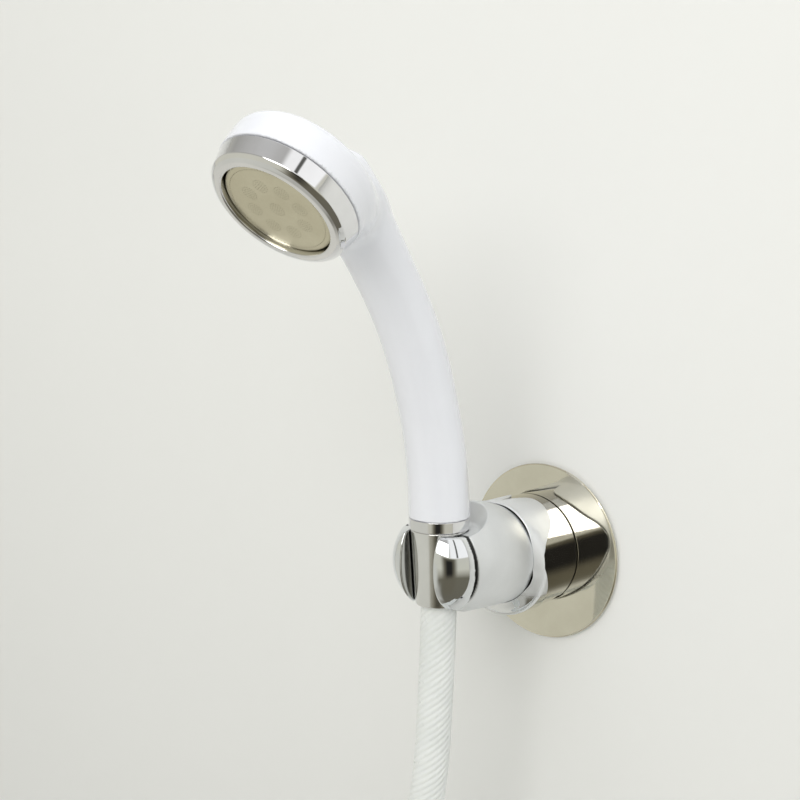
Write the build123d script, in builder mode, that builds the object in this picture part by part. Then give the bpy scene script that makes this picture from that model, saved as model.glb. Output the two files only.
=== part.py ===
"""Handheld shower head resting in a wall hook, with its hose.

Frame: the wall is the plane Y = 0, the object stands out towards -Y, +Z is up and +X is to
the right for someone facing the wall.  The origin is where the hook's axis meets the wall.
Distances out from the wall are called s below, so Y = -s.  All lengths are millimetres.
"""
import os
from math import sin, cos, tan, radians, sqrt, pi

from build123d import *

os.makedirs("parts", exist_ok=True)

# ---------------------------------------------------------------- driving dimensions
# wall plate and lock base
plate_r = 39.4            # polished wall plate
plate_x, plate_z = 5.8, -0.3   # its centre, the base is stuck a little off centre
pad_r = 38.4              # adhesive pad behind it
pad_t = 1.0
plate_t = 1.0
ring_r = 24.8             # lock dial
dial_rear = 2.9           # its rear edge stands just clear of the plate
dial_front = 27.0
dial_inner_r = 23.4
dial_web = 24.5           # inner face of its front wall
housing_r = 23.0          # fixed housing inside the dial
housing_front = 9.5
boss_r = 9.0              # fixed spindle that the dial and the hook turn on
boss_front = 31.5
run_clear = 0.06          # running clearance on the spindle
stud_r = 4.0
pin_r = 1.5
pin_s = 15.0              # cross pin, base locked
lock_travel = 2.0         # drawbar travel between locked and released
notch_a0, notch_a1 = -58.0, -48.0     # lock mark in the dial's rear edge, degrees from +X

# hook
collar_rear = 27.3        # inner face that runs in front of the dial
skirt_in, skirt_out = 24.95, 25.6     # two petals of the collar reach back over the dial
skirt_edge = [            # height, s of the petals' rear edge, low at the sides
    (26.5, 10.4), (25.0, 10.1), (23.0, 9.9), (20.2, 11.6), (17.3, 13.8), (15.2, 16.3), (12.7, 20.0), (9.0, 24.4),
    (4.8, 26.7), (0.0, 26.9), (-5.1, 24.4), (-10.2, 21.7), (-15.1, 19.4), (-19.0, 17.0), (-22.0, 14.5),
    (-25.8, 11.0), (-26.5, 10.6),
]
slot_w = 17.5             # gap between the two prongs, passes the hose
screw_r = 2.0
screw_head_r = 4.6
screw_seat = 47.65        # s of the screw head's recess
hook_sections = [         # s, centre height, radius of the hook's body
    (28.2, 2.6, 21.2),
    (37.15, 4.1, 22.5),
    (49.15, 5.5, 23.3),
    (58.0, 6.1, 23.25),
    (67.0, 6.3, 22.05),
]
dome_r, dome_s0, dome_len, dome_pow = 23.4, 50.0, 32.0, 2.9   # full rounded front of the hook
dome_z = 6.3
ledge_r = 17.0            # flat ledge round the seat, the recess opens upwards from it
prong_top = -4.95         # top of the prongs, below the white handle's lower end

# seat axis, shared by the hook's bore, the nut and the handle's lower end
seat_lean = 0.0           # degrees, upper end away from the wall
seat_y, seat_z = -66.75, 25.1   # lower end of the white handle, on that axis
band_h = 4.75             # chrome band under the handle
band_r = 12.75
nut_top_r = 12.0
nut_bot_r = 9.9
nut_len = 32.25
seat_gap = 0.3

# handset
handle_line = [           # y, z, radius along the handle's curved centre line
    (-66.75, 25.1, 12.75),
    (-67.6, 40.3, 12.65),
    (-69.85, 55.8, 12.45),
    (-73.35, 70.4, 12.3),
    (-77.85, 84.9, 12.3),
    (-83.65, 99.7, 12.25),
    (-91.05, 113.8, 12.1),
    (-99.15, 126.4, 12.1),
    (-107.75, 138.7, 12.4),
    (-116.75, 150.5, 12.9),
    (-127.55, 164.3, 13.0),
]
head_y, head_z = -157.85, 152.3   # centre of the face ring's front
head_tilt = 45.0                 # spray direction below the horizontal
face_front_r = 27.5
face_back_r = 29.25
face_open_r = 22.55
face_h = 8.8
cup_r = 29.6
cup_back = 24.6
plate_depth = 3.4                # spray plate's flange behind the front lip
spray_t = 0.8
spray_ring_r = 19.85
neck_sections = [                # depth behind the face, shift towards the handle, radius
    (12.0, 3.0, 25.5),
    (24.0, 11.0, 19.5),
    (33.0, 19.5, 12.6),
]

# hose
hose_r = 7.6
hose_route = [                   # from inside the cone nut down to the coil
    (0.0, -66.75, 4.6),
    (0.0, -66.75, -18.7),
    (-1.4, -66.8, -48.7),
    (-4.2, -67.05, -94.7),
    (-15.5, -67.55, -135.7),
    (-36.5, -68.05, -174.7),
    (-60.0, -68.55, -217.1),
    (-74.6, -69.15, -264.9),
]
coil_r = 78.0                    # middle of the turns
coil_pitch = 15.6
coil_in = 163.0                  # angle where the hose joins the coil, its end is at 0 degrees
coil_turns = (360.0 - coil_in) / 360.0 + 2.0
coil_cx = 0.0
coil_cz = -287.7
coil_y0 = hose_route[-1][1]
tail_len = 48.0                  # straight end past the coil
thread_core_r = 9.32             # half-inch parallel pipe thread, core radius

# ---------------------------------------------------------------- helpers (values only)
lean = radians(seat_lean)
seat_o = Vector(0, seat_y, seat_z)
seat_u = Vector(0, -sin(lean), cos(lean))
seat_plane = Plane(origin=seat_o, x_dir=(1, 0, 0), z_dir=(0, -cos(lean), -sin(lean)))
seat_axis = Axis(seat_o, seat_u)

tilt = radians(head_tilt)
head_o = Vector(0, head_y, head_z)
head_w = Vector(0, cos(tilt), sin(tilt))       # from the face into the head
head_e = Vector(0, sin(tilt), -cos(tilt))      # along the face, towards the handle
head_plane = Plane(origin=head_o, x_dir=(1, 0, 0), z_dir=(0, -sin(tilt), cos(tilt)))
head_axis = Axis(head_o, head_w)

base_plane = Plane.XY
base_axis = Axis.Y


def seat_pt(t):
    """Point on the seat axis, t up from the white handle's lower end."""
    return seat_o + seat_u * t


def out(points):
    """Profile given as (radius, s) turned into sketch coordinates."""
    return [(r, -s) for r, s in points]


def nut_r_at(t):
    return nut_top_r - (-band_h - t) * (nut_top_r - nut_bot_r) / nut_len


# ================================================================ wall plate and lock base
with BuildPart() as adhesive_pad:
    with BuildSketch(Plane.XZ):
        with Locations((plate_x, plate_z)):
            Circle(pad_r)
    extrude(amount=pad_t)

with BuildPart() as wall_plate:
    with BuildSketch(Plane.XZ.offset(pad_t)):
        with Locations((plate_x, plate_z)):
            Circle(plate_r)
    extrude(amount=plate_t)
    chamfer(wall_plate.edges().filter_by(GeomType.CIRCLE).sort_by(Axis.Y)[0], 0.3)

cup_s = pad_t + plate_t
with BuildPart() as suction_cup:
    with BuildSketch(base_plane):
        with BuildLine():
            Polyline(*out([(0, 4.6), (10.0, 4.6), (18.0, cup_s), (22.6, cup_s), (22.6, 3.2),
                           (18.0, 4.8), (11.0, 7.2), (stud_r + 0.05, 7.2), (stud_r + 0.05, 6.75),
                           (8.05, 6.75), (8.05, 5.45), (0, 5.45)]), close=True)
        make_face()
    revolve(axis=base_axis)

with BuildPart() as cup_stud:
    with BuildSketch(base_plane):
        with BuildLine():
            Polyline(*out([(0, 5.5), (8.0, 5.5), (8.0, 6.7), (stud_r, 6.7), (stud_r, 18.0),
                           (3.4, 18.6), (0, 18.6)]), close=True)
        make_face()
    revolve(axis=base_axis)
    # cross hole for the pin
    with BuildSketch(Plane.YZ):
        with Locations((-pin_s, 0)):
            Circle(pin_r)
    extrude(amount=20, both=True, mode=Mode.SUBTRACT)

with BuildPart() as cam_pin:
    with BuildSketch(Plane.YZ):
        with Locations((-pin_s, 0)):
            Circle(pin_r)
    extrude(amount=12.4, both=True)
    chamfer(cam_pin.edges().filter_by(GeomType.CIRCLE), 0.25)

with BuildPart() as base_housing:
    with BuildSketch(base_plane):
        with BuildLine():
            Polyline(*out([(21.6, 3.6), (housing_r, 3.6), (housing_r, housing_front - 0.3),
                           (housing_r - 0.3, housing_front), (boss_r, housing_front),
                           (boss_r, boss_front - 0.4), (boss_r - 0.4, boss_front), (screw_r, boss_front),
                           (screw_r, 20.5), (stud_r + run_clear, 20.5), (stud_r + run_clear, 7.9),
                           (19.6, 7.9), (21.6, 5.9)]), close=True)
        make_face()
    revolve(axis=base_axis)
    # slot through the spindle for the cross pin, long enough for the lock's travel
    with BuildSketch(Plane.YZ):
        with Locations((-(pin_s - lock_travel / 2), 0)):
            SlotOverall(lock_travel + 2 * pin_r + 0.3, 2 * pin_r + 0.2)
    extrude(amount=boss_r + 1, both=True, mode=Mode.SUBTRACT)

with BuildPart() as thrust_washer:
    with BuildSketch(base_plane):
        with BuildLine():
            Polyline(*out([(boss_r + 0.3, housing_front), (14.2, housing_front),
                           (14.2, housing_front + 0.5), (boss_r + 0.3, housing_front + 0.5)]), close=True)
        make_face()
    revolve(axis=base_axis)

with BuildPart() as dial_ring:
    with BuildSketch(base_plane):
        with BuildLine():
            Polyline(*out([(dial_inner_r, dial_rear), (ring_r - 0.3, dial_rear), (ring_r, dial_rear + 0.3),
                           (ring_r, dial_front - 0.8), (ring_r - 0.8, dial_front),
                           (boss_r + run_clear, dial_front), (boss_r + run_clear, 16.8), (13.2, 16.8),
                           (13.2, 11.2), (boss_r + run_clear, 11.2), (boss_r + run_clear, 10.2),
                           (15.2, 10.2), (15.2, dial_web), (dial_inner_r, dial_web)]), close=True)
        make_face()
    revolve(axis=base_axis)
    # lock mark, a notch in the rear edge at the lower right
    with BuildSketch(Plane.XZ.offset(dial_rear - 1.0)):
        with BuildLine():
            m1 = CenterArc((0, 0), ring_r + 1, notch_a0, notch_a1 - notch_a0)
            m2 = CenterArc((0, 0), dial_inner_r - 1.0, notch_a0, notch_a1 - notch_a0)
            Line(m1 @ 0, m2 @ 0)
            Line(m1 @ 1, m2 @ 1)
        make_face()
    extrude(amount=3.4, mode=Mode.SUBTRACT)

# ================================================================ hook
with BuildPart() as hook:
    # collar with its skirt
    with BuildSketch(base_plane):
        with BuildLine():
            Polyline(*out([(0, collar_rear), (skirt_in, collar_rear), (skirt_in, 9.0), (skirt_out, 9.0), (skirt_out, 25.2),
                           (25.2, 27.0), (24.2, 28.3), (22.9, 29.5), (21.6, 31.0), (0, 31.0)]), close=True)
        make_face()
    revolve(axis=base_axis)
    # the skirt's rear edge runs in a wave, so that the dial shows at both sides
    with BuildSketch(Plane.YZ):
        with BuildLine():
            wave = Spline(*[(-s, z) for z, s in skirt_edge])
            Polyline(wave @ 0, (-1.0, skirt_edge[0][0]), (-1.0, skirt_edge[-1][0]), wave @ 1)
        make_face()
    extrude(amount=32, both=True, mode=Mode.SUBTRACT)
    # body
    for s, zc, r in hook_sections:
        with BuildSketch(Plane.XZ.offset(s)):
            with Locations((0, zc)):
                Circle(r)
    loft()
    # full front
    dome = [(0.0, 66.0)]
    for i in range(15):
        s = 66.0 + (dome_len + dome_s0 - 66.0) * sin(i / 14 * pi / 2)
        dome.append((dome_r * max(0.0, 1 - ((s - dome_s0) / dome_len) ** dome_pow) ** (1 / dome_pow), s))
    with BuildSketch(Plane.XY.offset(dome_z)):
        with BuildLine():
            Polyline(*out(dome), close=True)
        make_face()
    revolve(axis=Axis((0, 0, dome_z), (0, 1, 0)))
    # socket on the spindle, screw hole and the recess for the screw's head
    with BuildSketch(base_plane):
        with BuildLine():
            Polyline(*out([(0, collar_rear - 1), (boss_r + run_clear, collar_rear - 1),
                           (boss_r + run_clear, boss_front + 0.4), (screw_r + 0.4, boss_front + 0.4),
                           (screw_r + 0.4, screw_seat), (screw_head_r + 0.5, screw_seat), (screw_head_r + 0.5, screw_seat + 12.5),
                           (0, screw_seat + 12.5)]), close=True)
        make_face()
    revolve(axis=base_axis, mode=Mode.SUBTRACT)
    # conical seat for the nut and the clearance round the handle's lower end
    with BuildSketch(seat_plane):
        with BuildLine():
            Polyline((0, -60), (nut_bot_r + seat_gap - 1.2, -60), (nut_r_at(-52.0) + seat_gap, -52.0),
                     (nut_r_at(-5.4) + seat_gap, -5.4), (ledge_r, -5.4), (23.0, 3.5), (25.0, 6.5), (25.0, 40.0), (0, 40.0),
                     close=True)
        make_face()
    revolve(axis=seat_axis, mode=Mode.SUBTRACT)
    # front gap and the lowered top of the prongs
    with BuildSketch(Plane.XY.offset(-40)):
        with Locations((0, seat_y - 20)):
            Rectangle(slot_w, 42)
    extrude(amount=100, mode=Mode.SUBTRACT)
    with BuildSketch(seat_plane):
        with Locations((0, 20 + prong_top)):
            Rectangle(80, 40)
    extrude(amount=60, mode=Mode.SUBTRACT)

with BuildPart() as hook_screw:
    with BuildSketch(base_plane):
        with BuildLine():
            Polyline(*out([(0, 20.6), (screw_r, 20.6), (screw_r, screw_seat + 0.9), (screw_head_r, screw_seat + 0.9),
                           (screw_head_r, screw_seat + 2.9), (screw_head_r - 0.8, screw_seat + 3.7),
                           (0, screw_seat + 3.7)]), close=True)
        make_face()
    revolve(axis=base_axis)
    # cross recess in the head
    with BuildSketch(Plane.XZ.offset(screw_seat + 2.1)):
        Rectangle(5.0, 1.1)
        Rectangle(1.1, 5.0)
    extrude(amount=3, mode=Mode.SUBTRACT)

with BuildPart() as spring_washer:
    with BuildSketch(Plane.XZ.offset(screw_seat + 0.05)):
        Circle(screw_head_r + 0.2)
        Circle(screw_r, mode=Mode.SUBTRACT)
    extrude(amount=0.85)

# ================================================================ handset
with BuildPart() as handle_shell:
    n = len(handle_line)
    for i, (y, z, r) in enumerate(handle_line):
        if i == 0:
            d = seat_u
        else:
            a = handle_line[i - 1]
            b = handle_line[min(i + 1, n - 1)]
            d = Vector(0, b[0] - a[0], b[1] - a[1]).normalized()
        with BuildSketch(Plane(origin=(0, y, z), x_dir=(1, 0, 0), z_dir=d)):
            Circle(r)
    loft()
    # neck: the head's back runs over into the handle's end
    for w, e, r in neck_sections:
        with BuildSketch(Plane(origin=head_o + head_w * w + head_e * e, x_dir=(1, 0, 0), z_dir=head_w)):
            Circle(r)
    loft()
    # the handle's top is closed by a slanted flat
    with BuildSketch(Plane(origin=(0, -110.75, 171.1), x_dir=(1, 0, 0), z_dir=(0, 0.347, 0.938))):
        Rectangle(90, 120)
    extrude(amount=60, mode=Mode.SUBTRACT)
    # head cup with its threaded front rim
    with BuildSketch(head_plane):
        with BuildLine():
            Polyline((0, 5.4), (26.2, 5.4), (26.2, face_h), (cup_r - 0.2, face_h), (cup_r, 13.0),
                     (cup_r - 0.1, 18.0), (cup_r - 1.0, 21.6), (cup_r - 3.2, 23.8), (cup_r - 6.5, cup_back),
                     (0, cup_back), close=True)
        make_face()
    revolve(axis=head_axis)
    # water way: socket for the adapter, bore of the handle, turn into the head, chamber
    with BuildSketch(seat_plane):
        with BuildLine():
            Polyline((0, -1), (9.0, -1), (9.0, 12.2), (0, 12.2), close=True)
        make_face()
    revolve(axis=seat_axis, mode=Mode.SUBTRACT)
    for i, (y, z, r) in enumerate(handle_line[:-1]):
        if i == 0:
            d = seat_u
        else:
            a = handle_line[i - 1]
            b = handle_line[i + 1]
            d = Vector(0, b[0] - a[0], b[1] - a[1]).normalized()
        p = Vector(0, y, z) + (seat_u * 6.0 if i == 0 else Vector(0, 0, 0))
        with BuildSketch(Plane(origin=p, x_dir=(1, 0, 0), z_dir=d)):
            Circle(8.0)
    loft(mode=Mode.SUBTRACT)
    with BuildSketch(Plane(origin=(0, -117.15, 150.3), x_dir=(1, 0, 0), z_dir=(0, -0.99, 0.12))):
        Circle(6.5)
    extrude(amount=27, mode=Mode.SUBTRACT)
    with BuildSketch(head_plane):
        with BuildLine():
            Polyline((0, 5.0), (22.6, 5.0), (22.6, 10.0), (20.6, 10.0), (20.6, 19.0), (18.0, 21.0), (0, 21.0),
                     close=True)
        make_face()
    revolve(axis=head_axis, mode=Mode.SUBTRACT)

with BuildPart() as face_ring:
    with BuildSketch(head_plane):
        with BuildLine():
            Polyline((face_open_r, -0.3), (face_open_r + 0.35, -0.95), (23.6, -1.2), (24.6, -1.1), (26.2, -0.35),
                     (face_front_r, 0.7), (face_front_r + 0.65, 2.0), (face_back_r, face_h - 0.1), (26.3, face_h - 0.1),
                     (26.3, plate_depth), (face_open_r, plate_depth), close=True)
        make_face()
    revolve(axis=head_axis)

with BuildPart() as spray_plate:
    # pressed pan: its middle stands just behind the lip, its flange is clamped behind the ring
    with BuildSketch(head_plane):
        with BuildLine():
            Polyline((0, 0.75), (12.0, 0.78), (20.8, 0.9), (21.8, 1.2), (22.25, 1.8), (22.35, plate_depth),
                     (26.2, plate_depth), (26.2, plate_depth + spray_t), (21.6, plate_depth + spray_t), (21.5, 2.3),
                     (21.2, 1.9), (20.6, 1.7), (0, 1.55), close=True)
        make_face()
    revolve(axis=head_axis)
    # outer ring of fine spray holes
    with BuildSketch(Plane(origin=head_o - head_w * 1.0, x_dir=(1, 0, 0), z_dir=head_w)):
        with PolarLocations(spray_ring_r, 24):
            Circle(0.45)
    extrude(amount=3.0, mode=Mode.SUBTRACT)

with BuildPart() as plate_gasket:
    with BuildSketch(Plane(origin=head_o + head_w * (plate_depth + spray_t), x_dir=(1, 0, 0), z_dir=head_w)):
        Circle(26.1)
        Circle(23.0, mode=Mode.SUBTRACT)
    extrude(amount=5.4 - plate_depth - spray_t)

with BuildPart() as flow_disc:
    with BuildSketch(Plane(origin=head_o + head_w * 8.2, x_dir=(1, 0, 0), z_dir=head_w)):
        Circle(22.5)
        with PolarLocations(14.0, 10):
            Circle(1.6, mode=Mode.SUBTRACT)
        with PolarLocations(7.0, 5):
            Circle(1.6, mode=Mode.SUBTRACT)
    extrude(amount=1.8)

with BuildPart() as handle_adapter:
    with BuildSketch(seat_plane):
        with BuildLine():
            Polyline((6.0, -14.5), (9.7, -14.5), (10.2, -14.0), (10.2, -band_h), (band_r - 0.35, -band_h),
                     (band_r, -band_h + 0.35), (band_r, -0.25), (band_r - 0.25, 0), (9.0, 0), (9.0, 5.0),
                     (7.2, 5.0), (7.2, 7.0), (9.0, 7.0), (9.0, 11.4), (8.4, 12.0), (6.0, 12.0), close=True)
        make_face()
    revolve(axis=seat_axis)

with BuildPart() as adapter_o_ring:
    with BuildSketch(seat_plane):
        with Locations((8.1, 6.0)):
            Circle(0.88)
    revolve(axis=seat_axis)

with BuildPart() as hose_cone_nut:
    t0 = -band_h - 0.1
    t1 = -band_h - nut_len
    with BuildSketch(seat_plane):
        with BuildLine():
            Polyline((10.26, t0), (nut_r_at(t0) - 0.3, t0), (nut_r_at(t0 - 0.3), t0 - 0.3),
                     (nut_r_at(t1 + 0.8), t1 + 0.8), (nut_bot_r - 0.8, t1), (hose_r + 0.3, t1),
                     (hose_r + 0.3, -18.1), (10.26, -18.1), close=True)
        make_face()
    revolve(axis=seat_axis)

with BuildPart() as hose_washer:
    with BuildSketch(seat_plane):
        with BuildLine():
            Polyline((5.6, -14.55), (9.9, -14.55), (9.9, -16.4), (5.6, -16.4), close=True)
        make_face()
    revolve(axis=seat_axis)

# ================================================================ hose
with BuildPart() as hose_tail_top:
    with BuildSketch(seat_plane):
        with BuildLine():
            Polyline((5.0, -16.45), (9.9, -16.45), (9.9, -18.05), (hose_r, -18.05), (hose_r, -20.5), (5.0, -20.5),
                     close=True)
        make_face()
    revolve(axis=seat_axis)

# straight runs joined by arcs as large as the runs allow
pts = [Vector(*p) for p in hose_route]
radii = []
for i in range(1, len(pts) - 1):
    a = pts[i] - pts[i - 1]
    b = pts[i + 1] - pts[i]
    turn = radians(a.get_angle(b))
    radii.append(0.45 * min(a.length, b.length) / tan(turn / 2))
print("hose run radii", [round(r, 1) for r in radii])
with BuildPart() as hose_run:
    with BuildLine() as run_path:
        FilletPolyline(*pts, radius=radii)
    with BuildSketch(Plane(origin=pts[0], z_dir=pts[1] - pts[0])):
        Circle(hose_r)
    sweep()
run_len = sum(e.length for e in run_path.edges())
print("hose run length", round(run_len, 2), "volume ratio", round(hose_run.part.volume / (pi * hose_r ** 2 * run_len), 4))

coil_y1 = coil_y0 + coil_pitch * coil_turns
with BuildPart() as hose_coil:
    with BuildSketch(Plane.XY.offset(coil_cz)):
        with Locations((coil_cx + coil_r, (coil_y0 + coil_y1) / 2)):
            RectangleRounded(2 * hose_r + 0.4, coil_y1 - coil_y0 + 2 * hose_r + 0.4, 6.5)
    revolve(axis=Axis((coil_cx, 0, coil_cz), (0, 1, 0)))

tie_ang = radians(-60.0)
tie_o = Vector(coil_cx + coil_r * cos(tie_ang), (coil_y0 + coil_y1) / 2, coil_cz + coil_r * sin(tie_ang))
with BuildPart() as hose_tie:
    with BuildSketch(Plane(origin=tie_o, x_dir=(cos(tie_ang), 0, sin(tie_ang)), z_dir=(sin(tie_ang), 0, -cos(tie_ang)))):
        RectangleRounded(2 * hose_r + 4.2, coil_y1 - coil_y0 + 2 * hose_r + 4.2, 7.0)
        RectangleRounded(2 * hose_r + 1.6, coil_y1 - coil_y0 + 2 * hose_r + 1.6, 6.6, mode=Mode.SUBTRACT)
    extrude(amount=4.0, both=True)

tail_d = Vector(0.10, 0, 0.995).normalized()
tail_o = Vector(coil_cx + coil_r, coil_y1, coil_cz)
tail_plane = Plane(origin=tail_o, x_dir=tail_d.cross(Vector(0, 1, 0)), z_dir=(0, -1, 0))
tail_axis = Axis(tail_o, tail_d)
with BuildPart() as hose_end:
    with BuildSketch(Plane(origin=tail_o, z_dir=tail_d)):
        Circle(hose_r)
    extrude(amount=tail_len)

with BuildPart() as hose_tail_bottom:
    with BuildSketch(Plane(origin=tail_o + tail_d * tail_len, z_dir=tail_d)):
        Circle(hose_r + 0.9)
        Circle(5.0, mode=Mode.SUBTRACT)
    extrude(amount=20.0)
    with BuildSketch(Plane(origin=tail_o + tail_d * (tail_len + 20.0), z_dir=tail_d)):
        Circle(hose_r - 0.6)
        Circle(5.0, mode=Mode.SUBTRACT)
    extrude(amount=5.0)
    with BuildSketch(Plane(origin=tail_o + tail_d * (tail_len + 25.0), z_dir=tail_d)):
        Circle(9.1)
        Circle(5.0, mode=Mode.SUBTRACT)
    extrude(amount=1.6)

nut_l0 = tail_len + 20.6
with BuildPart() as supply_nut:
    with BuildSketch(Plane(origin=tail_o + tail_d * nut_l0, z_dir=tail_d)):
        RegularPolygon(13.2, 6)
    extrude(amount=18.0)
    with BuildSketch(Plane(origin=tail_o + tail_d * nut_l0, z_dir=tail_d)):
        Circle(hose_r - 0.3)
    extrude(amount=18.0, mode=Mode.SUBTRACT)
    # undercut for the tail's flange and the washer, then the core of the pipe thread
    with BuildSketch(Plane(origin=tail_o + tail_d * (nut_l0 + 4.3), z_dir=tail_d)):
        Circle(thread_core_r + 0.3)
    extrude(amount=3.7, mode=Mode.SUBTRACT)
    with BuildSketch(Plane(origin=tail_o + tail_d * (nut_l0 + 8.0), z_dir=tail_d)):
        Circle(thread_core_r)
    extrude(amount=10.0, mode=Mode.SUBTRACT)

with BuildPart() as supply_washer:
    with BuildSketch(Plane(origin=tail_o + tail_d * (tail_len + 26.65), z_dir=tail_d)):
        Circle(9.1)
        Circle(5.6, mode=Mode.SUBTRACT)
    extrude(amount=1.8)

# ================================================================ write one file per piece
pieces = {
    "adhesive_pad": adhesive_pad, "wall_plate": wall_plate, "suction_cup": suction_cup, "cup_stud": cup_stud,
    "cam_pin": cam_pin, "base_housing": base_housing, "thrust_washer": thrust_washer, "dial_ring": dial_ring,
    "hook": hook, "hook_screw": hook_screw, "spring_washer": spring_washer,
    "handle_shell": handle_shell, "face_ring": face_ring, "spray_plate": spray_plate, "plate_gasket": plate_gasket,
    "flow_disc": flow_disc, "handle_adapter": handle_adapter, "adapter_o_ring": adapter_o_ring,
    "hose_cone_nut": hose_cone_nut, "hose_washer": hose_washer, "hose_tail_top": hose_tail_top,
    "hose_run": hose_run, "hose_coil": hose_coil, "hose_tie": hose_tie, "hose_end": hose_end,
    "hose_tail_bottom": hose_tail_bottom, "supply_nut": supply_nut, "supply_washer": supply_washer,
}
for name, piece in pieces.items():
    piece.part.label = name
    export_step(piece.part, f"parts/{name}.step")
print("tail mouth", tail_o + tail_d * (nut_l0 + 18.0), "axis", tail_d)
print("coil length", round(2 * pi * coil_r * coil_turns, 1), "whole hose",
      round(run_len + 2 * pi * coil_r * coil_turns + tail_len, 1))
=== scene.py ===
import math

import bpy
import numpy as np
from mathutils import Matrix, Vector
from mathutils.geometry import delaunay_2d_cdt


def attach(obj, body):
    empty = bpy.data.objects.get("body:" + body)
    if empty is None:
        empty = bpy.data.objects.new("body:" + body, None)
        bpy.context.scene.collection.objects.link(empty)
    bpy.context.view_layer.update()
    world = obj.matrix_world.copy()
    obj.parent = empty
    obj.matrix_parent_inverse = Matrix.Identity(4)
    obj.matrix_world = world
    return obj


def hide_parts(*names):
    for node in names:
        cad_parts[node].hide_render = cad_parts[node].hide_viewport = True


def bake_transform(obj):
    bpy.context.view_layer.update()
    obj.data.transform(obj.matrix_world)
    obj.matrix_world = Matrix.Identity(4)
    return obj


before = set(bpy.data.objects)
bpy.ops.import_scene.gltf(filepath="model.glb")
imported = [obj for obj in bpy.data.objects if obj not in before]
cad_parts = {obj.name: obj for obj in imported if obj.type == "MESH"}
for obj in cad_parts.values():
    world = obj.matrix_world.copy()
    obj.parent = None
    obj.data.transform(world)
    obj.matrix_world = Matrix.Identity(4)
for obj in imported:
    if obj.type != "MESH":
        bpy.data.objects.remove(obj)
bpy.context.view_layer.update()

scene = bpy.context.scene
MM = 0.001

# ------------------------------------------------------------------ camera
AZ, EL = math.radians(41.814), math.radians(8.141)
cam_data = bpy.data.cameras.new("camera")
cam_data.lens = 67.5
cam_data.sensor_width = 36.0
cam_data.sensor_fit = "HORIZONTAL"
cam_data.clip_start, cam_data.clip_end = 0.01, 50.0
camera = bpy.data.objects.new("camera", cam_data)
scene.collection.objects.link(camera)
c_right = Vector((math.cos(AZ), math.sin(AZ), 0))
c_back = Vector((math.sin(AZ) * math.cos(EL), -math.cos(AZ) * math.cos(EL), math.sin(EL)))
c_up = c_back.cross(c_right)
camera.matrix_world = Matrix((
    (c_right.x, c_up.x, c_back.x, 0.39491),
    (c_right.y, c_up.y, c_back.y, -0.53264),
    (c_right.z, c_up.z, c_back.z, 0.16147),
    (0, 0, 0, 1)))
scene.camera = camera


# ------------------------------------------------------------------ mesh helpers
def put(name, verts, faces, normals=None, smooth=True):
    """A mesh object from millimetre vertices."""
    me = bpy.data.meshes.new(name)
    v = np.asarray(verts, float) * MM
    me.from_pydata(v.tolist(), [], [list(map(int, f)) for f in faces])
    me.validate(clean_customdata=False)
    me.update()
    ob = bpy.data.objects.new(name, me)
    scene.collection.objects.link(ob)
    if smooth:
        me.polygons.foreach_set("use_smooth", [True] * len(me.polygons))
    if normals is not None and len(me.vertices) == len(v):
        me.normals_split_custom_set_from_vertices(np.asarray(normals, float).tolist())
    return ob


def place(ob, body, material, nodes=()):
    ob.data.materials.clear()
    for m in (material if isinstance(material, (list, tuple)) else [material]):
        ob.data.materials.append(m)
    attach(ob, body)
    if nodes:
        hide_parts(*nodes)
    return ob


def rounded(points, n=5):
    """Closed profile from (r, t, corner radius): returns points and outward normals, tangent to the runs."""
    p = np.array([(a, b) for a, b, _ in points], float)
    area = 0.5 * np.sum(p[:, 0] * np.roll(p[:, 1], -1) - np.roll(p[:, 0], -1) * p[:, 1])
    pts = list(points) if area > 0 else list(points)[::-1]
    out = []
    m = len(pts)
    for i in range(m):
        a = np.array(pts[i - 1][:2], float)
        b = np.array(pts[i][:2], float)
        c = np.array(pts[(i + 1) % m][:2], float)
        d1, d2 = (b - a) / np.linalg.norm(b - a), (c - b) / np.linalg.norm(c - b)
        n1, n2 = np.array([d1[1], -d1[0]]), np.array([d2[1], -d2[0]])
        turn = math.acos(max(-1, min(1, float(d1 @ d2))))
        rad = pts[i][2]
        if rad <= 0 or turn < 1e-3:
            nn = (n1 + n2) / np.linalg.norm(n1 + n2)
            if b[0] < 1e-6:
                # on the axis the face lies square to it
                nn = n1 if a[0] > 1e-6 else n2
            out.append((b[0], b[1], nn[0], nn[1]))
            continue
        cut = min(rad * math.tan(turn / 2), 0.49 * np.linalg.norm(b - a), 0.49 * np.linalg.norm(c - b))
        rad = cut / math.tan(turn / 2)
        left = d1[0] * d2[1] - d1[1] * d2[0] > 0
        s = b - d1 * cut
        centre = s - n1 * rad if left else s + n1 * rad
        k = max(2, int(math.ceil(n * turn / (math.pi / 2))) + 1)
        for q in range(k + 1):
            f = q / k
            nn = n1 * math.sin((1 - f) * turn) + n2 * math.sin(f * turn)
            nn = nn / np.linalg.norm(nn)
            pt = centre + nn * rad if left else centre - nn * rad
            out.append((pt[0], pt[1], nn[0], nn[1]))
    return out


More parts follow.
